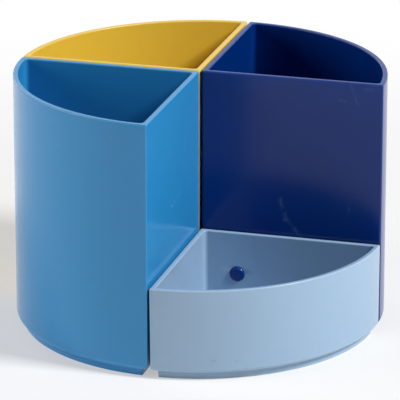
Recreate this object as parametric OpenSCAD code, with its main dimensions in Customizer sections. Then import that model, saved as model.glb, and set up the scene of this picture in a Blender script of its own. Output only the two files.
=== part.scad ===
// Round desk organizer: four quarter-round bins that plug together into a ring.
// Millimetres. +Z is up, the origin is the ring's centre on the desk, and the low tray faces -Y.
// Each bin is one moulding. It has a stud on one flat wall and a round hole in the other,
// so the same outline, turned by a quarter each time, closes into a ring.

/* [Ring] */
// Diameter over the round walls of all four bins
ring_d = 150; // [120:1:200]
// Air between the flat walls of two neighbouring bins
bin_gap = 0.9; // [0.3:0.1:1.5]

/* [Bins] */
// Height of the three tall bins
tall_h = 104; // [80:1:140]
// Height of the low tray
tray_h = 37.5; // [30:0.5:60]
// Thickness of the upright walls
wall = 2; // [1.6:0.1:3]
// Thickness of the floor and of the ledge over the foot
floor_t = 2; // [1.6:0.1:3]
// Radius of the outer upright edges
outer_edge_r = 1.2; // [0.4:0.1:2]
// Radius of the upright fillets inside a bin
inner_edge_r = 1.5; // [0.4:0.1:3]
// Radius of the walls' lower edge, over the foot
lower_edge_r = 1.8; // [0.5:0.1:2.4]

/* [Foot] */
// Height of the recessed foot
foot_h = 3.3; // [2.5:0.1:7]
// How far the foot stands back from the walls above it
foot_inset = 2.7; // [2.5:0.1:6]

/* [Studs] */
// Diameter of the studs
stud_d = 6; // [4:0.1:8]
// Distance of a stud's axis from the ring's centre
stud_offset = 16.2; // [12:0.1:30]
// Height of a stud's axis above the desk
stud_z = 20; // [17:0.1:22]
// How far a stud stands out inside the neighbouring bin
stud_proud = 1; // [0.5:0.1:2]
// Radius of the rounding on a stud's end
stud_round_r = 0.9; // [0.3:0.1:1.5]
// Air all round a stud in its hole
stud_clearance = 0.08; // [0.05:0.01:0.1]

/* [Hidden] */
$fn = 96;
ring_r = ring_d / 2;
half_gap = bin_gap / 2;
ledge_z = foot_h + floor_t;
stud_r = stud_d / 2;
hole_r = stud_r + stud_clearance;
// Allowance by which a cutting solid runs past the face that it cuts
cut = 1;
// Allowance by which a rounding's circle crosses the faces that it blends into
cross = 0.002;

// Centre of the rounding where a flat wall meets the round wall: r from each of them.
function edge_centre(inset, r) =
    let (across = half_gap + inset + r)
    [sqrt(pow(ring_r - inset - r, 2) - pow(across, 2)), across];

// Quarter disc in the quadrant +X +Y, set back everywhere by inset from a bin's outer faces.
module sharp_quarter(inset) {
    flat = half_gap + inset;
    intersection() {
        circle(r = ring_r - inset);
        translate([flat, flat])
            square(ring_r);
    }
}

// Wedge that holds the sharp corner where the flat wall along X meets the round wall.
module rim_corner_wedge(inset, r) {
    centre = edge_centre(inset, r);
    reach = (ring_r + cut) / (ring_r - inset - r);
    polygon([centre, centre * reach, [ring_r + cut, 0], [centre[0], 0]]);
}

// The same quarter disc with its three corners rounded to radius r.
module rounded_quarter(inset, r) {
    centre = edge_centre(inset, r);
    flat = half_gap + inset;
    difference() {
        sharp_quarter(inset);
        rim_corner_wedge(inset, r);
        mirror([1, -1])
            rim_corner_wedge(inset, r);
        square(flat + r);
    }
    translate([flat + r, flat + r])
        circle(r = r + cross);
    translate(centre)
        circle(r = r + cross);
    translate([centre[1], centre[0]])
        circle(r = r + cross);
}

// Section of what is cut from a square edge at the origin, to round it to lower_edge_r.
module edge_section() {
    difference() {
        translate([-cut, -cut])
            square(lower_edge_r + cut);
        translate([lower_edge_r, lower_edge_r])
            circle(r = lower_edge_r);
    }
}

// Cutter along the lower edge of the flat wall along Y.
module flat_edge_cutter() {
    translate([half_gap, ring_r + cut, foot_h])
        rotate([90, 0, 0])
            linear_extrude(height = ring_r + 2 * cut)
                edge_section();
}

// Cutter along the lower edge of the round wall.
module round_edge_cutter() {
    translate([0, 0, foot_h])
        rotate_extrude()
            translate([ring_r, 0])
                mirror([1, 0])
                    edge_section();
}

// The walls' outer shape over the foot, with its lower edge rounded.
module upper_block(height) {
    difference() {
        translate([0, 0, foot_h])
            linear_extrude(height = height - foot_h)
                rounded_quarter(0, outer_edge_r);
        flat_edge_cutter();
        mirror([1, -1, 0])
            flat_edge_cutter();
        round_edge_cutter();
    }
}

// Walls and foot as one solid block, before the inside is taken out.
module bin_block(height) {
    linear_extrude(height = ledge_z)
        rounded_quarter(foot_inset, outer_edge_r);
    upper_block(height);
}

// The inside: a wide part over the ledge, and a narrower pan within the foot.
module bin_inside(height) {
    translate([0, 0, floor_t])
        linear_extrude(height = height)
            rounded_quarter(foot_inset + wall, inner_edge_r);
    translate([0, 0, ledge_z])
        linear_extrude(height = height)
            rounded_quarter(wall, inner_edge_r);
}

// Stud that grows from the flat wall along X, crosses the gap and the neighbour's wall.
module stud() {
    root = wall / 2;
    tip = root + bin_gap + wall + stud_proud;
    translate([stud_offset, half_gap + root, stud_z])
        rotate([90, 0, 0])
            rotate_extrude() {
                square([stud_r, tip - stud_round_r]);
                square([stud_r - stud_round_r, tip]);
                translate([stud_r - stud_round_r, tip - stud_round_r])
                    intersection() {
                        circle(r = stud_round_r);
                        square(stud_round_r);
                    }
            }
}

// Hole in the flat wall along Y, where the neighbour's stud comes through.
module stud_hole() {
    translate([half_gap - cut, stud_offset, stud_z])
        rotate([0, 90, 0])
            cylinder(r = hole_r, h = wall + 2 * cut);
}

// One bin in the quadrant +X +Y.
module quarter_bin(height) {
    difference() {
        bin_block(height);
        bin_inside(height);
        stud_hole();
    }
    stud();
}

// Tall bin at the back right.
module navy_bin() {
    color("#14245c")
        quarter_bin(tall_h);
}

// Tall bin at the back left.
module yellow_bin() {
    color("#e8b52e")
        rotate([0, 0, 90])
            quarter_bin(tall_h);
}

// Tall bin at the front left.
module light_blue_bin() {
    color("#2f93cf")
        rotate([0, 0, 180])
            quarter_bin(tall_h);
}

// Low tray at the front right.
module low_tray() {
    color("#9fc0e4")
        rotate([0, 0, 270])
            quarter_bin(tray_h);
}

navy_bin();
yellow_bin();
light_blue_bin();
low_tray();
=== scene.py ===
# %% [markdown]
# # A round desk organizer of four moulded bins
# Four quarter-round bins stand in a ring and plug into each other: three tall ones for pens and
# one low tray for clips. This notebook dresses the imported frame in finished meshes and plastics.
# Everything is in metres, +Z is up, and the origin is the ring's centre on the desk.

# %% Load the frame
import math

import bpy
import numpy as np
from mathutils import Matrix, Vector


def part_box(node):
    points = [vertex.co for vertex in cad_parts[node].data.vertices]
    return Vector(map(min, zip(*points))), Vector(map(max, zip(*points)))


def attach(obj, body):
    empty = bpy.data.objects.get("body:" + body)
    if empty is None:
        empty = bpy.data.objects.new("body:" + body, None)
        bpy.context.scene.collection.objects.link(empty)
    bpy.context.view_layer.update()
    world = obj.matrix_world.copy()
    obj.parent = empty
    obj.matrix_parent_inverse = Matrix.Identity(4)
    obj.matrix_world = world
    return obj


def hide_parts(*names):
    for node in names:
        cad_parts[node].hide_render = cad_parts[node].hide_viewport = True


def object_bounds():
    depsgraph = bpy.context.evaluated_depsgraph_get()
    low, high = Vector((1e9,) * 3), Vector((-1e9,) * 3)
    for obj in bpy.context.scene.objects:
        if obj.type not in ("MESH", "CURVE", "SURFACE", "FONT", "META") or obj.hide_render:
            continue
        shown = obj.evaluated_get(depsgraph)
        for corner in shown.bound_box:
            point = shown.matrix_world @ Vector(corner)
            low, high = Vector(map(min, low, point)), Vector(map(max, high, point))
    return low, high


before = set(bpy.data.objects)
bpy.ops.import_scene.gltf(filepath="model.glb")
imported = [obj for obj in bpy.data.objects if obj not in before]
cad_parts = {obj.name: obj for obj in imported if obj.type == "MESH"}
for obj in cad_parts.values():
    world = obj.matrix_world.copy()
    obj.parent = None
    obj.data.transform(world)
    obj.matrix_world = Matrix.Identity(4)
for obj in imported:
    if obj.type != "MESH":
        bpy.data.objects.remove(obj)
cad_box = [list(corner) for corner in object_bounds()]

# %% [markdown]
# ## Sizes
# One mould shape serves all four bins, so one set of sizes does too. Only the height differs, and
# the tray's flat walls lean a little so that it comes off its core. Each size is written in
# millimetres, as a mould maker would write it, and becomes metres when a mesh is made.

# %% Sizes of a bin, in millimetres
MM = 0.001
RING_R = 74.985         # outside of the round walls
HALF_GAP = 0.45         # from the ring's middle planes to a flat wall
WALL = 2.0
FLOOR = 2.0
FOOT_H = 3.3
FOOT_INSET = 2.7        # how far the foot stands back from the walls
LEDGE_Z = FOOT_H + FLOOR
TRAY_LEAN = 0.6         # of the tray's flat walls, in degrees
STUD_R = 3.0
STUD_AT = 16.2          # a stud's axis from the ring's centre
STUD_Z = 20.0
STUD_OUT = 3.9          # how far a stud stands out of its wall
CLEARANCE = 0.08        # air round a stud in its hole
TALL_H = max(corner[2] for corner in cad_box) / MM
TRAY_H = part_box("low_tray")[1][2] / MM
print(f"tall bins {TALL_H:.1f} mm, low tray {TRAY_H:.1f} mm")

# %% [markdown]
# ## Edges
# Every edge of a moulding is rounded, and each has its own radius: small on the rims, larger where
# the walls turn in to the foot. The two bins in front have crisper upright edges than the others.
# One Bevel modifier would give every edge the same width, so the radii are sizes of their own.

# %% Radii of the edges, in millimetres
OUTER_R = 0.7           # upright edges outside
FRONT_OUTER_R = 0.4     # the same, on the two bins in front
INNER_R = 1.5           # upright fillets inside
LEAST_R = 0.15          # no upright edge is sharper than this
RIM_R = 0.45
LOWER_R = 1.8           # lower edge of the walls
PAN_R = 0.8             # fillets round the inside floor and on the ledge
LEDGE_R = 0.5           # edge of the ledge over the pan
FOOT_TOP_R = 0.3        # where the foot meets the walls
FOOT_LOW_R = 0.5        # where the foot meets the desk
print("a rim is two roundings and", round(WALL - 2 * RIM_R, 2), "mm of flat between them")

# %% [markdown]
# ## The path round a bin
# Seen from above, a bin is a quarter disc with three rounded corners. Bridging straight lines and
# arcs by hand would give each height a different number of points. Here one function lays out the
# same number of points for every height, so that neighbouring heights join into plain quads.

# %% A closed path round the quarter disc


def spaced(count, edge=0.004):
    """Numbers from 0 up to but without 1, evenly spaced, with one more close to each end so that
    a flat wall stays flat in its shading right up to the rounding beside it."""
    return np.concatenate([[0, edge], np.linspace(0, 1, count + 1)[1:-1], [1 - edge]])


def quarter_path(flat, radius, corner, arc=8, straight=14, sweep=72):
    """Points round the quarter disc in the quadrant +X +Y, for many heights at once.
    flat is how far the flat walls stand from the axes, radius is the round wall's, and corner
    rounds the three corners. A corner between flat and round wall has its centre at the distance
    radius - corner from the ring's centre and flat + corner from the axis. The result has one row
    for each height and one column for each point."""
    flat, radius, corner = (np.atleast_1d(v).astype(float)[:, None] for v in (flat, radius, corner))
    near = flat + corner
    far = np.sqrt((radius - corner) ** 2 - near ** 2)
    turn = np.arctan2(near, far)
    quarter = math.pi / 2
    bend = np.linspace(0, 1, arc + 1)[None, :-1]
    line = spaced(straight)[None]
    swing = spaced(sweep, 0.002)[None]
    rounding = -quarter + (quarter + turn) * bend
    x = [near + (far - near) * line, far + corner * np.cos(rounding)]
    y = [flat + 0 * line, near + corner * np.sin(rounding)]
    around = turn + (quarter - 2 * turn) * swing
    x.append(radius * np.cos(around))
    y.append(radius * np.sin(around))
    rounding = quarter - turn + (quarter + turn) * bend
    x += [near + corner * np.cos(rounding), flat + 0 * line]
    y += [far + corner * np.sin(rounding), far + (near - far) * line]
    rounding = 2 * quarter + quarter * bend
    x.append(near + corner * np.cos(rounding))
    y.append(near + corner * np.sin(rounding))
    return np.stack([np.concatenate(x, 1), np.concatenate(y, 1)], -1)


print("points round a bin:", quarter_path(HALF_GAP, RING_R, OUTER_R).shape[1])

# %% [markdown]
# ## The section through a wall
# A wall's section tells the whole mould shape: floor, pan, ledge, inner wall, rim, outer wall,
# lower edge, foot and underside. Each rounding is an arc in this section, because light on plastic
# is read from its roundings: they are the bright lines along every rim and edge. A Bevel modifier
# could round them too, but it would choose its own widths where three edges meet.

# %% The section, as rows of inset, height, and the corner that goes with them
WALL_ROWS = 16          # rows on each side of a wall


def bend_section(inset, height, radius, start, end, steps=6):
    """An arc in the section. Its centre is at (inset, height), and the angles are in degrees
    from the direction in which the inset grows."""
    angle = np.radians(np.linspace(start, end, steps + 1))
    return np.stack([inset + radius * np.cos(angle), height + radius * np.sin(angle)], 1)


def upright(inset, low, high, count):
    """A straight stretch of wall between two roundings, with a row close to either end."""
    z = low + (high - low) * np.concatenate([[0.004], np.linspace(0, 1, count + 1)[1:-1], [0.996]])
    return np.stack([np.full_like(z, inset), z], 1)


def wall_section(top, outer):
    """Rows of (inset, height, corner radius, edge) from the inside floor, over the rim, to the
    underside. outer is the radius of the upright edges outside. The corner radius shrinks by what
    the inset grows within one wall, as an offset does. edge is 1 on the roundings that hands and
    desks rub."""
    pan, foot, rim = FOOT_INSET + WALL, FOOT_INSET, top - RIM_R
    foot_top = bend_section(foot - FOOT_TOP_R, FOOT_H - FOOT_TOP_R, FOOT_TOP_R, 90, 0, 4)
    parts = [
        (bend_section(pan + PAN_R, FLOOR + PAN_R, PAN_R, -90, -180), pan, INNER_R, 0),
        (bend_section(pan - LEDGE_R, LEDGE_Z - LEDGE_R, LEDGE_R, 0, 90, 4), pan, INNER_R, 0.4),
        (bend_section(WALL + PAN_R, LEDGE_Z + PAN_R, PAN_R, -90, -180), WALL, INNER_R, 0),
        (upright(WALL, LEDGE_Z + PAN_R, rim, WALL_ROWS), WALL, INNER_R, 0),
        (bend_section(WALL - RIM_R, rim, RIM_R, 0, 90), WALL, INNER_R, 1),
        (bend_section(RIM_R, rim, RIM_R, 90, 180), 0, outer, 1),
        (upright(0, FOOT_H + LOWER_R, rim, WALL_ROWS)[::-1], 0, outer, 0),
        (bend_section(LOWER_R, FOOT_H + LOWER_R, LOWER_R, 180, 270, 8), 0, outer, 1),
        (foot_top, foot, outer, 0),
        (bend_section(foot + FOOT_LOW_R, FOOT_LOW_R, FOOT_LOW_R, 180, 270), foot, outer, 1),
    ]
    rows = np.concatenate([
        np.column_stack([part, radius - (part[:, 0] - start), np.full(len(part), edge)])
        for part, start, radius, edge in parts])
    rows[:, 2] = np.maximum(rows[:, 2], LEAST_R)
    return rows


print("rows in a tall bin's section:", len(wall_section(TALL_H, OUTER_R)))

# %% [markdown]
# ## From path and section to a closed shell
# The section is carried along the path: each row of the section is one path round the bin. The
# two open ends, the inside floor and the underside, are closed by paths that shrink to a point.

# %% Faces of a closed grid


def quads_between(rows, columns):
    """Faces between neighbouring rows of a grid whose rows are closed rings."""
    here = np.arange(rows * columns).reshape(rows, columns)
    ahead = np.roll(here, -1, 1)
    return np.stack([here[:-1], ahead[:-1], ahead[1:], here[1:]], -1).reshape(-1, 4)


def fan(ring, tip):
    """Triangles from a closed ring of points to one tip."""
    return np.stack([ring, np.roll(ring, -1), np.full(len(ring), tip)], -1)


def end_fans(rows, columns):
    """The fans that close a grid: from its first row to one tip, then from its last row to
    another. The two tips come after the grid's own points."""
    tip = rows * columns
    first = np.arange(columns)
    return np.concatenate([fan(first[::-1], tip), fan(tip - columns + first, tip + 1)])


quads, ends = quads_between(3, 4), end_fans(3, 4)
print("3 rows of 4 points make", len(quads), "quads and", len(ends), "triangles")

# %% The shell of a bin
# The seams get dust and also painted shade, which darkens the narrow gap between the bins.
SEAM_REACH, SEAM_FADE = 2.0, 0.4    # dust lies within this radius of the ring's centre, and fades
DUST_AND_SHADE_FROM = 3.0                    # this far below the rim it has its full strength
TIP_AT = 0.42                       # the ends close at this share of the ring's radius
CLOSING = np.array([0.15, 0.4, 0.7])    # and have a path at each of these shares of the way there


def lean_of(z, top, lean):
    """How far a leaning flat wall has moved inwards at height z. The foot doesn't lean."""
    return np.where(z > FOOT_H + 0.01, (top - z) * math.tan(math.radians(lean)), 0)


def bin_surface(top, lean, outer):
    """Points, quads, end triangles, edge values and seam values of a bin's shell in the quadrant
    +X +Y. A seam value is 1 outside on the corner by the ring's centre and falls to 0 beside it
    and at the rim: there the four bins meet and dust gathers between them, and the same value
    lays painted shade on the narrow gap between them."""
    inset, z, corner, edge = wall_section(top, outer).T
    path = quarter_path(HALF_GAP + inset + lean_of(z, top, lean), RING_R - inset, corner)
    rows, columns = path.shape[:2]
    ring = np.concatenate([path, np.repeat(z[:, None, None], columns, 1)], 2)
    edge = np.repeat(edge[:, None], columns, 1)
    on_outer_wall = (inset < 0.3) & (z < top - 0.4)
    outside = on_outer_wall * np.clip((top - z) / DUST_AND_SHADE_FROM, 0, 1)
    from_centre = np.hypot(path[..., 0], path[..., 1])
    seam = outside[:, None] * np.clip((SEAM_REACH - from_centre) / SEAM_FADE, 0, 1)
    middle = np.array([TIP_AT * RING_R, TIP_AT * RING_R])
    share, extra = CLOSING[:, None, None], len(CLOSING)

    def closing(end):
        flat_part = end[None, :, :2] * (1 - share) + middle * share
        height = np.broadcast_to(end[None, :, 2:], (extra, columns, 1))
        return np.concatenate([flat_part, height], 2)

    ring = np.concatenate([closing(ring[0])[::-1], ring, closing(ring[-1])])
    padding = ((extra, extra), (0, 0))
    edge, seam = (np.append(np.pad(values, padding).ravel(), [0, 0]) for values in (edge, seam))
    tips = np.array([[*middle, z[0]], [*middle, z[-1]]])
    points = np.concatenate([ring.reshape(-1, 3), tips])
    rows += 2 * extra
    return points, quads_between(rows, columns), end_fans(rows, columns), edge, seam


print("points in a tall bin's shell:", len(bin_surface(TALL_H, 0.0, OUTER_R)[0]))

# %% [markdown]
# ## Studs and holes
# A stud stands on one flat wall of each bin and goes through a round hole in its neighbour. Both
# are turned shapes: a section spun round an axis. The stud is joined to its wall, and the hole is
# cut out of the other wall, by Blender's exact boolean, which leaves one closed skin.

# %% A turned shape


def turned(radius, along, segments=64):
    """Spins a section round an axis: the point (r, a) goes to (r cos t, r sin t, a) for every
    angle t. A fan at each end closes the shape on its axis."""
    t = np.linspace(0, 2 * math.pi, segments, endpoint=False)
    ring = np.stack([radius[:, None] * np.cos(t), radius[:, None] * np.sin(t),
                     along[:, None] + 0 * t], -1)
    points = np.concatenate([ring.reshape(-1, 3), [[0, 0, along[0]], [0, 0, along[-1]]]])
    return points, quads_between(len(radius), segments), end_fans(len(radius), segments)


def stud_shape():
    """A stud along +Z from inside its wall, with a small fillet at its root and a rounded end."""
    root, end = 0.3, 0.9
    fillet = bend_section(STUD_R + root, root, root, -90, -180)
    tip = bend_section(STUD_R - end, STUD_OUT - end, end, 0, 90, 8)
    section = np.concatenate([[[STUD_R + root, -WALL / 2]], fillet, tip])
    return turned(section[:, 0], section[:, 1])


def hole_shape():
    """The cutter for a hole along +Z through a wall whose outer face is at 0: wider at both
    mouths, by an arc that rounds the hole's edge. It runs past the wall on both sides."""
    mouth, past = 0.2, 1.0
    r = STUD_R + CLEARANCE + mouth
    low = bend_section(r, mouth, mouth, -90, -180)
    high = bend_section(r, WALL - mouth, mouth, 180, 90)
    section = np.concatenate([[[r, -past]], low, high, [[r, WALL + past]]])
    return turned(section[:, 0], section[:, 1])


print(f"studs {2 * STUD_R} mm across, holes {2 * (STUD_R + CLEARANCE)} mm")

# %% [markdown]
# ## One skin for each bin
# A bin is made in the quadrant +X +Y and turned by a quarter, a half or three quarters before it
# becomes a mesh. Its place is in its points, so the object itself stays unturned at the origin.

# %% Points into a Blender mesh


def turn_z(points, quarters):
    """Turns points about the Z axis by whole quarters, without rounding errors."""
    c, s = [(1, 0), (0, 1), (-1, 0), (0, -1)][quarters]
    return points @ np.array([[c, s, 0], [-s, c, 0], [0, 0, 1]], float)


def add_mesh(name, points, quads, ends, **values):
    """A mesh object from points in millimetres, with each set of values kept as an attribute."""
    mesh = bpy.data.meshes.new(name)
    mesh.from_pydata((points * MM).tolist(), [], quads.tolist() + ends.tolist())
    for label, numbers in values.items():
        column = mesh.attributes.new(label, "FLOAT", "POINT")
        column.data.foreach_set("value", np.broadcast_to(numbers, len(points)).astype(np.float32))
    mesh.update()
    piece = bpy.data.objects.new(name, mesh)
    bpy.context.scene.collection.objects.link(piece)
    return piece


def signed_volume(piece):
    """Volume in cubic centimetres by the divergence theorem: it is negative if faces look in."""
    mesh = piece.data
    mesh.calc_loop_triangles()
    corners = np.empty(len(mesh.loop_triangles) * 3, np.int32)
    mesh.loop_triangles.foreach_get("vertices", corners)
    co = np.empty(len(mesh.vertices) * 3)
    mesh.vertices.foreach_get("co", co)
    a, b, c = co.reshape(-1, 3)[corners.reshape(-1, 3)].transpose(1, 0, 2)
    return float((np.cross(a, b) * c).sum() / 6 * 1e6)


print("a quarter turn takes +X to", turn_z(np.array([[1.0, 0.0, 0.0]]), 1)[0])

# %% Join the stud, cut the hole
STUD_WEAR = 0.3         # the edge value all over a stud and in a hole
CREASE = math.radians(40)


def combine(piece, tool, operation):
    """Applies an exact boolean to the piece and removes the tool."""
    change = piece.modifiers.new(operation, "BOOLEAN")
    change.operation, change.object, change.solver = operation, tool, "EXACT"
    bpy.context.view_layer.objects.active = piece
    bpy.ops.object.modifier_apply(modifier=change.name)
    bpy.data.objects.remove(tool)


def quarter_bin(name, node, body, top, quarters, lean=0.0, outer=OUTER_R):
    """Makes one finished bin and puts it in the frame in its node's place."""
    points, quads, ends, edge, seam = bin_surface(top, lean, outer)
    piece = add_mesh(name, turn_z(points, quarters), quads, ends, edge=edge, seam=seam)
    if signed_volume(piece) < 0:
        piece.data.flip_normals()
    face = HALF_GAP + float(lean_of(np.array(STUD_Z), top, lean))
    points, quads, ends = stud_shape()
    points = points[:, [0, 2, 1]] * [1, -1, 1] + [STUD_AT, face, STUD_Z]
    stud = add_mesh(name + "_stud", turn_z(points, quarters), quads, ends, edge=STUD_WEAR, seam=0.0)
    points, quads, ends = hole_shape()
    points = points[:, [2, 0, 1]] + [face, STUD_AT, STUD_Z]
    hole = add_mesh(name + "_hole", turn_z(points, quarters), quads, ends, edge=STUD_WEAR, seam=0.0)
    for tool in (stud, hole):
        if signed_volume(tool) < 0:
            tool.data.flip_normals()
    combine(piece, stud, "UNION")
    combine(piece, hole, "DIFFERENCE")
    piece.data.shade_smooth()
    piece.data.set_sharp_from_angle(angle=CREASE)
    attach(piece, body)
    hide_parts(node)
    print(f"{name}: {len(piece.data.polygons)} faces, {signed_volume(piece):.2f} cm3")
    return piece


# %% The four bins
navy = quarter_bin("navy_tall_bin", "navy_bin", "navy", TALL_H, 0)
yellow = quarter_bin("yellow_tall_bin", "yellow_bin", "yellow", TALL_H, 1)
light_blue = quarter_bin("light_blue_tall_bin", "light_blue_bin", "light_blue",
                         TALL_H, 2, outer=FRONT_OUTER_R)
tray = quarter_bin("pale_blue_low_tray", "low_tray", "tray",
                   TRAY_H, 3, lean=TRAY_LEAN, outer=FRONT_OUTER_R)

# %% [markdown]
# ## Plastics
# Moulded polystyrene is never one flat colour: its gloss wanders where hands have been, its mould
# leaves a fine grain, and its rims are a touch lighter, from wear and from a painted highlight for
# the light they catch. Painting maps by hand would fix the marks to one mesh. Each effect is a node
# group instead, so that the four colours share it and only the numbers differ. The helpers below
# keep the groups short.

# %% Helpers for node trees


def new_group(name, inputs, outputs):
    """A shader node group. inputs maps a name to its default: a number, a colour, or None for a
    vector. Gives the group, and the sockets inside it that bring values in and take them out."""
    group = bpy.data.node_groups.new(name, "ShaderNodeTree")
    for label, value in inputs.items():
        kind = "NodeSocketFloat"
        if value is None:
            kind = "NodeSocketVector"
        elif isinstance(value, tuple):
            kind = "NodeSocketColor"
        socket = group.interface.new_socket(label, in_out="INPUT", socket_type=kind)
        if value is not None:
            socket.default_value = value
    for label, kind in outputs.items():
        group.interface.new_socket(label, in_out="OUTPUT", socket_type="NodeSocket" + kind)
    given = group.nodes.new("NodeGroupInput").outputs
    return group, given, group.nodes.new("NodeGroupOutput").inputs


def math_node(tree, operation, a, b, clamp=False):
    """A Math node; a and b are sockets or numbers."""
    node = tree.nodes.new("ShaderNodeMath")
    node.operation, node.use_clamp = operation, clamp
    for slot, value in zip(node.inputs, (a, b)):
        if isinstance(value, bpy.types.NodeSocket):
            tree.links.new(value, slot)
        else:
            slot.default_value = value
    return node.outputs[0]


def times(tree, a, b):
    """The product of two sockets, or of a socket and a number."""
    return math_node(tree, "MULTIPLY", a, b)


def noise_node(tree, place, scale, detail=2.0, rough=0.5, stretch=None, distortion=0.0):
    """Noise on a place in metres; stretch squeezes the pattern along an axis."""
    if stretch is not None:
        mapping = tree.nodes.new("ShaderNodeMapping")
        mapping.inputs["Scale"].default_value = stretch
        tree.links.new(place, mapping.inputs["Vector"])
        place = mapping.outputs[0]
    node = tree.nodes.new("ShaderNodeTexNoise")
    node.inputs["Scale"].default_value = scale
    node.inputs["Detail"].default_value = detail
    node.inputs["Roughness"].default_value = rough
    node.inputs["Distortion"].default_value = distortion
    tree.links.new(place, node.inputs["Vector"])
    return node.outputs["Fac"]


def range_node(tree, value, low, high, to_low=0.0, to_high=1.0):
    """A Map Range node with a smooth step between low and high."""
    node = tree.nodes.new("ShaderNodeMapRange")
    node.interpolation_type = "SMOOTHSTEP"
    limits = {"From Min": low, "From Max": high, "To Min": to_low, "To Max": to_high}
    for label, number in limits.items():
        node.inputs[label].default_value = number
    tree.links.new(value, node.inputs["Value"])
    return node.outputs[0]


def report(group):
    """Says how many nodes a finished group has."""
    print(group.name, "has", len(group.nodes), "nodes")


# %% [markdown]
# ### Colour that drifts
# Pigment is stirred into the melt and never spreads quite evenly, so a moulded wall is a little
# lighter in one place than in another. A painted picture could hold this, but it would have to be
# unwrapped onto each bin. So broad noise, stretched upwards as the melt flows, and a little fine
# noise scale the base colour by a few per cent.

# %% Group: the colour that drifts as the melt flows
drift, given, made = new_group(
    "Colour drift", {"Place": None, "Colour": (0.5, 0.5, 0.5, 1), "Amount": 0.05},
    {"Colour": "Color"})
broad = noise_node(drift, given["Place"], 14, 2, 0.5, (1, 1, 0.6))
fine = noise_node(drift, given["Place"], 260, 3, 0.6)
both = math_node(drift, "ADD", times(drift, broad, 0.75), times(drift, fine, 0.25))
swing = times(drift, math_node(drift, "SUBTRACT", both, 0.5), given["Amount"])
level = math_node(drift, "ADD", times(drift, swing, 4), 1)
tint = drift.nodes.new("ShaderNodeVectorMath")
tint.operation = "SCALE"
drift.links.new(given["Colour"], tint.inputs[0])
drift.links.new(level, tint.inputs["Scale"])
drift.links.new(tint.outputs[0], made["Colour"])
report(drift)

# %% [markdown]
# ### Worn edges, with a painted rim highlight
# Rims and lower edges are rubbed by hands, pens and the desk, and turn lighter and duller. The
# lighter colour is also a painted highlight: it stands for the light that the rims catch from
# above.
# Pointiness would find such edges only on a very dense mesh. The section of the wall already knows
# where its roundings are, so that knowledge is kept as an attribute and broken up by noise.

# %% Group: worn edges with a painted rim highlight
wear_and_highlight, given, made = new_group(
    "Worn edges and rim highlight", {"Place": None, "Edge": 0.0, "Wear": 0.5}, {"Mask": "Float"})
chips = range_node(wear_and_highlight, noise_node(wear_and_highlight, given["Place"], 420, 4, 0.65), 0.38, 0.66)
rubbed_and_highlit = math_node(wear_and_highlight, "ADD", times(wear_and_highlight, chips, 0.6), 0.4)
mask = math_node(wear_and_highlight, "MULTIPLY", times(wear_and_highlight, given["Edge"], rubbed_and_highlit), given["Wear"], True)
wear_and_highlight.links.new(mask, made["Mask"])
report(wear_and_highlight)

# %% [markdown]
# ### Smudges
# Fingers leave a thin film that is hard to see in the colour and easy to see in the gloss. Whole
# fingerprints would be too sharp for this distance. So the mask is soft blots, and longer wipes
# along the height, and it goes to the roughness only.

# %% Group: smudges left by hands
smudge, given, made = new_group("Hand smudges", {"Place": None, "Amount": 0.5}, {"Mask": "Float"})
blots = range_node(smudge, noise_node(smudge, given["Place"], 34, 4, 0.6, None, 0.8), 0.45, 0.75)
wipes = noise_node(smudge, given["Place"], 60, 3, 0.6, (1, 1, 0.25), 1.5)
wipes = range_node(smudge, wipes, 0.5, 0.8)
both = math_node(smudge, "MAXIMUM", blots, wipes)
smudge.links.new(math_node(smudge, "MULTIPLY", both, given["Amount"], True), made["Mask"])
report(smudge)

# %% [markdown]
# ### Dust and painted shade in the seams
# The four bins meet at the ring's centre, where no cloth reaches, and grey dust dulls the colour
# there. The same grey is also painted shade: it darkens the narrow gap between the bins. It could
# be a texture with a mask painted by hand. The seam attribute marks the corner's rounding already,
# so the dust and painted shade are laid there and broken up by fine noise.

# %% Group: dust and painted shade in the seams
dust_and_shade, given, made = new_group(
    "Seam dust", {"Place": None, "Seam": 0.0, "Amount": 0.6}, {"Mask": "Float"})
clumps = range_node(dust_and_shade, noise_node(dust_and_shade, given["Place"], 520, 3, 0.6), 0.3, 0.7, 0.8, 1.0)
mask = math_node(dust_and_shade, "MULTIPLY", times(dust_and_shade, given["Seam"], clumps), given["Amount"], True)
dust_and_shade.links.new(mask, made["Mask"])
report(dust_and_shade)

# %% [markdown]
# ### Fine scratches
# Glossy walls show hairlines under a lamp. Cut into the mesh they would need far too many faces.
# Noise that is stretched a lot becomes streaks, a high threshold keeps only the thinnest of them,
# and a second noise leaves most of the wall clean.

# %% Group: fine scratches
scratch, given, made = new_group(
    "Fine scratches", {"Place": None, "Amount": 0.5}, {"Mask": "Float"})
lines = []
for stretch in ((1.0, 1.0, 0.06), (0.09, 0.09, 1.0)):
    streak = noise_node(scratch, given["Place"], 900, 2, 0.5, stretch, 0.4)
    lines.append(range_node(scratch, streak, 0.66, 0.74))
sparse = range_node(scratch, noise_node(scratch, given["Place"], 48, 2, 0.5), 0.52, 0.7)
mask = times(scratch, math_node(scratch, "MAXIMUM", *lines), sparse)
scratch.links.new(math_node(scratch, "MULTIPLY", mask, given["Amount"], True), made["Mask"])
report(scratch)

# %% [markdown]
# ### Rub marks
# Where a pen clip or a neighbouring bin has rubbed the wall, it leaves a short dull smear. Its
# place isn't left to chance, so each mark is a line from one point to another. The distance of a
# place p from that line is |p - a - t (b - a)|, where t is how far along the line p lies, kept
# within 0 and 1. The mark fades with this distance, and fine noise breaks it up.

# %% Group: one rub mark


def vector_node(tree, operation, a, b):
    """A Vector Math node on two sockets."""
    node = tree.nodes.new("ShaderNodeVectorMath")
    node.operation = operation
    tree.links.new(a, node.inputs[0])
    tree.links.new(b, node.inputs["Scale" if operation == "SCALE" else 1])
    return node.outputs["Value" if operation in ("DOT_PRODUCT", "DISTANCE") else "Vector"]


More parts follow.
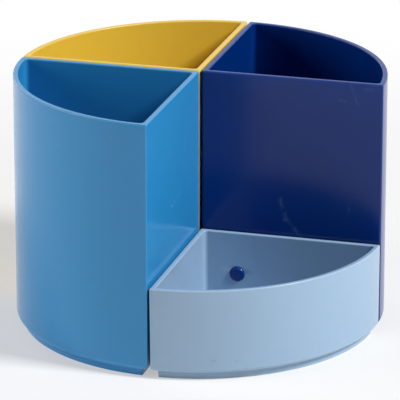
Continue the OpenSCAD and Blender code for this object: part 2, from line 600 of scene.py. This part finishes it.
rub, given, made = new_group(
    "Rub mark", {"Place": None, "From": None, "To": None, "Width": 0.002, "Amount": 0.5},
    {"Mask": "Float"})
way = vector_node(rub, "SUBTRACT", given["To"], given["From"])
reach = vector_node(rub, "SUBTRACT", given["Place"], given["From"])
reached = vector_node(rub, "DOT_PRODUCT", reach, way)
along = math_node(rub, "DIVIDE", reached, vector_node(rub, "DOT_PRODUCT", way, way), True)
away = vector_node(rub, "DISTANCE", reach, vector_node(rub, "SCALE", way, along))
near = math_node(rub, "SUBTRACT", 1.0, math_node(rub, "DIVIDE", away, given["Width"]), True)
broken = range_node(rub, noise_node(rub, given["Place"], 700, 4, 0.7, None, 1.0), 0.35, 0.65)
mask = math_node(rub, "MULTIPLY", times(rub, near, broken), given["Amount"], True)
rub.links.new(mask, made["Mask"])
report(rub)

# %% [markdown]
# ### The mould's surface
# A polished mould still leaves a very fine grain, and a thin wall shrinks in slight waves as it
# cools. Both are far too shallow to change an outline, so they needn't be in the mesh: they are
# heights for the bump, and the scratches are cut into them.

# %% Group: the mould's grain and the walls' slight waves
grain, given, made = new_group(
    "Moulded surface", {"Place": None, "Grain": 0.3, "Waves": 0.5, "Scratch": 0.0},
    {"Height": "Float"})
pores = times(grain, noise_node(grain, given["Place"], 2600, 2, 0.5), given["Grain"])
waves = times(grain, noise_node(grain, given["Place"], 45, 1, 0.4), given["Waves"])
height = math_node(grain, "SUBTRACT", math_node(grain, "ADD", pores, waves), given["Scratch"])
grain.links.new(height, made["Height"])
report(grain)

# %% [markdown]
# ### One plastic
# The bins differ in colour only, so one function builds the material for all of them. The colour
# carries the drift, the worn edges with their painted rim highlight, scratches, dust with painted
# shade in the seams, and rub marks. The roughness carries the gloss.
# The clear, shallow reflection is the Principled shader's own, at the refractive index of plastic.

# %% Laying the groups over each other


def place_group(tree, group, **values):
    """Puts a group in a material; values are numbers, colours or sockets."""
    node = tree.nodes.new("ShaderNodeGroup")
    node.node_tree = group
    for label, value in values.items():
        if isinstance(value, bpy.types.NodeSocket):
            tree.links.new(value, node.inputs[label])
        else:
            node.inputs[label].default_value = value
    return node


def mixed(tree, mask, base, colour):
    """Lays one colour over another where the mask is 1."""
    mix = tree.nodes.new("ShaderNodeMix")
    mix.data_type = "RGBA"
    tree.links.new(mask, mix.inputs["Factor"])
    tree.links.new(base, mix.inputs["A"])
    mix.inputs["B"].default_value = (*colour, 1)
    return mix.outputs["Result"]


def added(tree, level, mask, share):
    """Adds a share of a mask to a level, which is a socket or a number."""
    return math_node(tree, "ADD", level, times(tree, mask, share))


print("a plastic's layers: colour, wear, scratches, dust, rub marks, gloss, grain")

# %% A plastic in a given colour
# The seam grey is dust and also painted shade: it stands for the shade in the gap between bins.
DUST_AND_SHADE_GREY = (0.3, 0.36, 0.45)
ROUGHNESS = 0.18
# The edge colour shows wear and a painted highlight: the rims are lighter partly for the light they
# catch.
DRIFT, WEAR_AND_HIGHLIGHT, SMUDGES, SCRATCHES = 0.05, 0.5, 0.5, 0.3
SCRATCH_TONE = 0.3                                  # how far a scratch shows in the colour
SMUDGE_GLOSS, RUB_GLOSS, SCRATCH_GLOSS, EDGE_GLOSS = 0.08, 0.4, 0.25, 0.15
GRAIN_DEPTH, GRAIN_STRENGTH = 0.0004, 0.06


def moulded_plastic(name, colour, worn_highlit_colour, specular, seam_dust_and_shade, rubs):
    """Glossy moulded plastic in one colour, with lighter worn edges that also carry a painted rim
    highlight. Each of the rubs is a mark: the two ends of a line and its width, in millimetres, its
    strength, and its colour."""
    material = bpy.data.materials.new(name)
    material.use_nodes = True
    tree = material.node_tree
    shader = tree.nodes["Principled BSDF"]
    place = tree.nodes.new("ShaderNodeTexCoord").outputs["Object"]
    edge, seam = (tree.nodes.new("ShaderNodeAttribute") for _ in range(2))
    edge.attribute_name, seam.attribute_name = "edge", "seam"
    edge, seam = edge.outputs["Fac"], seam.outputs["Fac"]
    body = place_group(tree, drift, Place=place, Colour=(*colour, 1), Amount=DRIFT)
    rubbed_and_highlit = place_group(tree, wear_and_highlight, Place=place, Edge=edge, Wear=WEAR_AND_HIGHLIGHT).outputs["Mask"]
    touched = place_group(tree, smudge, Place=place, Amount=SMUDGES).outputs["Mask"]
    marks = place_group(tree, scratch, Place=place, Amount=SCRATCHES).outputs["Mask"]
    dust_and_shade_mask = place_group(tree, dust_and_shade, Place=place, Seam=seam, Amount=seam_dust_and_shade).outputs["Mask"]
    # Painted highlight: the lighter edge colour on the rims stands for the light they catch, as
    # well as wear.
    seen = mixed(tree, rubbed_and_highlit, body.outputs["Colour"], worn_highlit_colour)
    seen = mixed(tree, times(tree, marks, SCRATCH_TONE), seen, worn_highlit_colour)
    # Painted shade: the seam grey darkens the narrow gap between the bins, as well as showing dust.
    seen = mixed(tree, dust_and_shade_mask, seen, DUST_AND_SHADE_GREY)
    gloss = added(tree, ROUGHNESS, touched, SMUDGE_GLOSS)
    for start, end, width, strength, tone in rubs:
        ends = {"From": [v * MM for v in start], "To": [v * MM for v in end]}
        mark = place_group(tree, rub, Place=place, Width=width * MM, Amount=strength, **ends)
        seen = mixed(tree, mark.outputs["Mask"], seen, tone)
        gloss = added(tree, gloss, mark.outputs["Mask"], RUB_GLOSS)
    gloss = added(tree, added(tree, gloss, marks, SCRATCH_GLOSS), edge, EDGE_GLOSS)
    tree.links.new(seen, shader.inputs["Base Color"])
    tree.links.new(gloss, shader.inputs["Roughness"])
    skin = place_group(tree, grain, Place=place, Grain=0.3, Waves=0.5, Scratch=marks)
    bump = tree.nodes.new("ShaderNodeBump")
    bump.inputs["Strength"].default_value = GRAIN_STRENGTH
    bump.inputs["Distance"].default_value = GRAIN_DEPTH
    tree.links.new(skin.outputs["Height"], bump.inputs["Height"])
    tree.links.new(bump.outputs["Normal"], shader.inputs["Normal"])
    shader.inputs["IOR"].default_value = 1.5
    shader.inputs["Specular IOR Level"].default_value = specular
    return material


print("a plastic's roughness is", ROUGHNESS, "where nothing has touched it")

# %% [markdown]
# ### The four colours
# Navy, yellow, light blue and pale blue. The navy has the darkest pigment and a weaker reflection.
# Its wall over the tray carries most of the marks, because things are dropped into the tray there.

# %% Where things have rubbed
HAZE, SHADE, PALE = (0.06, 0.12, 0.22), (0.12, 0.2, 0.3), (0.06, 0.34, 0.62)
RUBS = {
    navy: [
        ((33.2, 0.45, 52.4), (35.5, 0.45, 44.5), 1.7, 0.55, HAZE),
        ((35.5, 0.45, 44.5), (41.7, 0.45, 38.2), 1.5, 0.6, HAZE),
        ((61.0, 0.45, 55.5), (61.9, 0.45, 49.5), 0.9, 0.4, HAZE),
        ((62.0, 0.45, 103.0), (65.0, 0.45, 94.4), 0.8, 0.4, HAZE),
        ((56.5, 0.45, 96.5), (60.0, 0.45, 96.0), 1.1, 0.3, HAZE),
        ((68.0, 0.45, 101.5), (73.0, 0.45, 102.0), 1.4, 0.3, HAZE),
    ],
    yellow: [],
    light_blue: [
        ((-0.45, -41.0, 59.6), (-0.45, -26.0, 61.6), 1.6, 0.3, PALE),
        ((-14.9, -73.5, 97.6), (-14.6, -73.5, 95.4), 0.6, 0.5, SHADE),
    ],
    tray: [
        ((24.4, -70.9, 8.6), (25.9, -70.4, 8.6), 0.6, 0.8, SHADE),
        ((33.0, -67.3, 8.1), (34.2, -66.7, 8.1), 0.5, 0.7, SHADE),
    ],
}
print("rub marks:", sum(len(marks) for marks in RUBS.values()))

# %% The four colours
# The last number of each bin is how much seam dust and painted seam shade it shows.
for piece, name, colour, worn_highlit_colour, specular, seam_dust_and_shade in (
    (navy, "Navy plastic", (0.0003, 0.0275, 0.183), (0.014, 0.05, 0.3), 0.3, 0.0),
    (yellow, "Yellow plastic", (0.767, 0.516, 0.052), (0.83, 0.58, 0.12), 0.5, 0.9),
    (light_blue, "Light blue plastic", (0.023, 0.245, 0.53), (0.045, 0.3, 0.59), 0.5, 0.1),
    (tray, "Pale blue plastic", (0.295, 0.432, 0.588), (0.36, 0.505, 0.665), 0.5, 0.1),
):
    plastic = moulded_plastic(name, colour, worn_highlit_colour, specular, seam_dust_and_shade, RUBS[piece])
    piece.data.materials.clear()
    piece.data.materials.append(plastic)
    print(name, "on", piece.name)

# %% [markdown]
# ## Floor
# A plain pale floor keeps the bins' shadow. Lamps light it well near the bins only, so it is mixed
# with plain white: not quite half of it at the bins, and all of it from 0.45 m on. Only the camera
# and clear reflections see this white. As a light it stays out, so the bins keep their shading. A
# brighter lamp would whiten the floor too, but it would bleach the tray first.

# %% Floor
FLOOR_RINGS = np.array([300.0, 2150.0, 4000.0])     # radii of its rings of points, in millimetres
FLOOR_GREY, FLOOR_ROUGHNESS, FLOOR_SPECULAR = 0.86, 0.7, 0.2
WHITE_FROM, WHITE_TO, WHITE_AT_BINS = 0.12, 0.45, 0.45


def seen_directly(tree):
    """1 for the rays from the camera, from reflections and through glass, and 0 for all others."""
    path = tree.nodes.new("ShaderNodeLightPath").outputs
    seen = math_node(tree, "MAXIMUM", path["Is Camera Ray"], path["Is Glossy Ray"])
    return math_node(tree, "MAXIMUM", seen, path["Is Transmission Ray"])


points, quads, ends = turned(FLOOR_RINGS, 0 * FLOOR_RINGS)
inner_fan = ends[:len(ends) // 2]
floor = add_mesh("floor", points, quads, inner_fan)
ground = bpy.data.materials.new("Pale floor")
ground.use_nodes = True
tree = ground.node_tree
shader = tree.nodes["Principled BSDF"]
shader.inputs["Base Color"].default_value = (FLOOR_GREY, FLOOR_GREY, FLOOR_GREY, 1)
shader.inputs["Roughness"].default_value = FLOOR_ROUGHNESS
shader.inputs["Specular IOR Level"].default_value = FLOOR_SPECULAR
away = tree.nodes.new("ShaderNodeVectorMath")
away.operation = "LENGTH"
tree.links.new(tree.nodes.new("ShaderNodeTexCoord").outputs["Object"], away.inputs[0])
white = range_node(tree, away.outputs["Value"], WHITE_FROM, WHITE_TO, WHITE_AT_BINS, 1.0)
white = times(tree, white, seen_directly(tree))
blend = tree.nodes.new("ShaderNodeMixShader")
tree.links.new(white, blend.inputs["Fac"])
tree.links.new(shader.outputs["BSDF"], blend.inputs[1])
tree.links.new(tree.nodes.new("ShaderNodeEmission").outputs["Emission"], blend.inputs[2])
tree.links.new(blend.outputs["Shader"], tree.nodes["Material Output"].inputs["Surface"])
floor.data.materials.append(ground)
print("floor of", len(floor.data.polygons), "faces")

# %% [markdown]
# ## World
# Glossy walls need something to reflect. A picture of a studio could be wrapped round them, but
# plain white is what a product stands in. The world is white for the camera and for reflections,
# which lays a pale veil over the walls, and almost dark as a light, because an even light from
# everywhere would wipe out the gradients that the lamps make.

# %% World
AMBIENT = 0.03          # strength as a light
world = bpy.data.worlds.new("Studio")
world.use_nodes = True
bpy.context.scene.world = world
tree = world.node_tree
sky = tree.nodes["Background"]
sky.inputs["Color"].default_value = (1, 1, 1, 1)
white = times(tree, seen_directly(tree), 1 - AMBIENT)
tree.links.new(math_node(tree, "ADD", white, AMBIENT), sky.inputs["Strength"])
print("the world has strength", AMBIENT, "as a light")

# %% [markdown]
# ## Lamps
# Three square lamps, like softboxes, stand about 1.4 m away. The key lamp at the right is small and
# stands wholly in front of the ring's middle plane: a larger one would be half hidden from the
# tray's corner by the navy bin. A large one fills the left side, and one at the back left lights
# the insides and lifts the round walls off the background.

# %% Lamps


def soft_lamp(name, place, size, watts):
    """A square area lamp that faces a point half-way up the bins."""
    data = bpy.data.lights.new(name, "AREA")
    data.shape, data.size, data.energy = "SQUARE", size, watts
    lamp = bpy.data.objects.new(name, data)
    bpy.context.scene.collection.objects.link(lamp)
    lamp.location = place
    aim = np.array([0, 0, 0.05]) - place
    lamp.rotation_mode = "QUATERNION"
    lamp.rotation_quaternion = Vector(aim).to_track_quat("-Z", "Y")
    lamp.visible_camera = False


LAMPS = {   # place in metres, size in metres, power in watts
    "key_lamp_right": ((1.0, -0.15, 1.0), 0.28, 22.0),
    "fill_lamp_left": ((-1.2, -0.5, 0.4), 0.8, 9.6),
    "back_lamp_left": ((-1.0, 0.9, 0.6), 0.8, 3.6),
}
for name, (place, size, watts) in LAMPS.items():
    soft_lamp(name, place, size, watts)
    print(name, "is", round(float(np.linalg.norm(place)), 2), "m away")

# %% [markdown]
# ## Camera
# A long lens from 1.5 m away keeps the upright edges almost parallel. It looks down a little from
# the front right, so that it sees the rims, the insides and the tray.

# %% Camera
AZIMUTH, ELEVATION, DISTANCE = math.radians(15.74), math.radians(18.73), 1.4809
AIM = (-0.00014, 0, 0.0494)
FOCAL_PX, PICTURE_PX = 3654.6, 400      # focal length and picture side, in pixels
data = bpy.data.cameras.new("camera")
data.sensor_width = 36.0
data.lens = FOCAL_PX / PICTURE_PX * data.sensor_width
data.clip_start, data.clip_end = 0.1, 20.0
camera = bpy.data.objects.new("camera", data)
bpy.context.scene.collection.objects.link(camera)
bpy.context.scene.camera = camera
level = math.cos(ELEVATION)
back = np.array([math.sin(AZIMUTH) * level, -math.cos(AZIMUTH) * level, math.sin(ELEVATION)])
camera.location = back * DISTANCE + AIM
camera.rotation_euler = (math.pi / 2 - ELEVATION, 0, AZIMUTH)
print(f"lens of {data.lens:.0f} mm, camera at", np.round(camera.location, 3))

# %% Colour management
bpy.context.scene.view_settings.view_transform = "Standard"
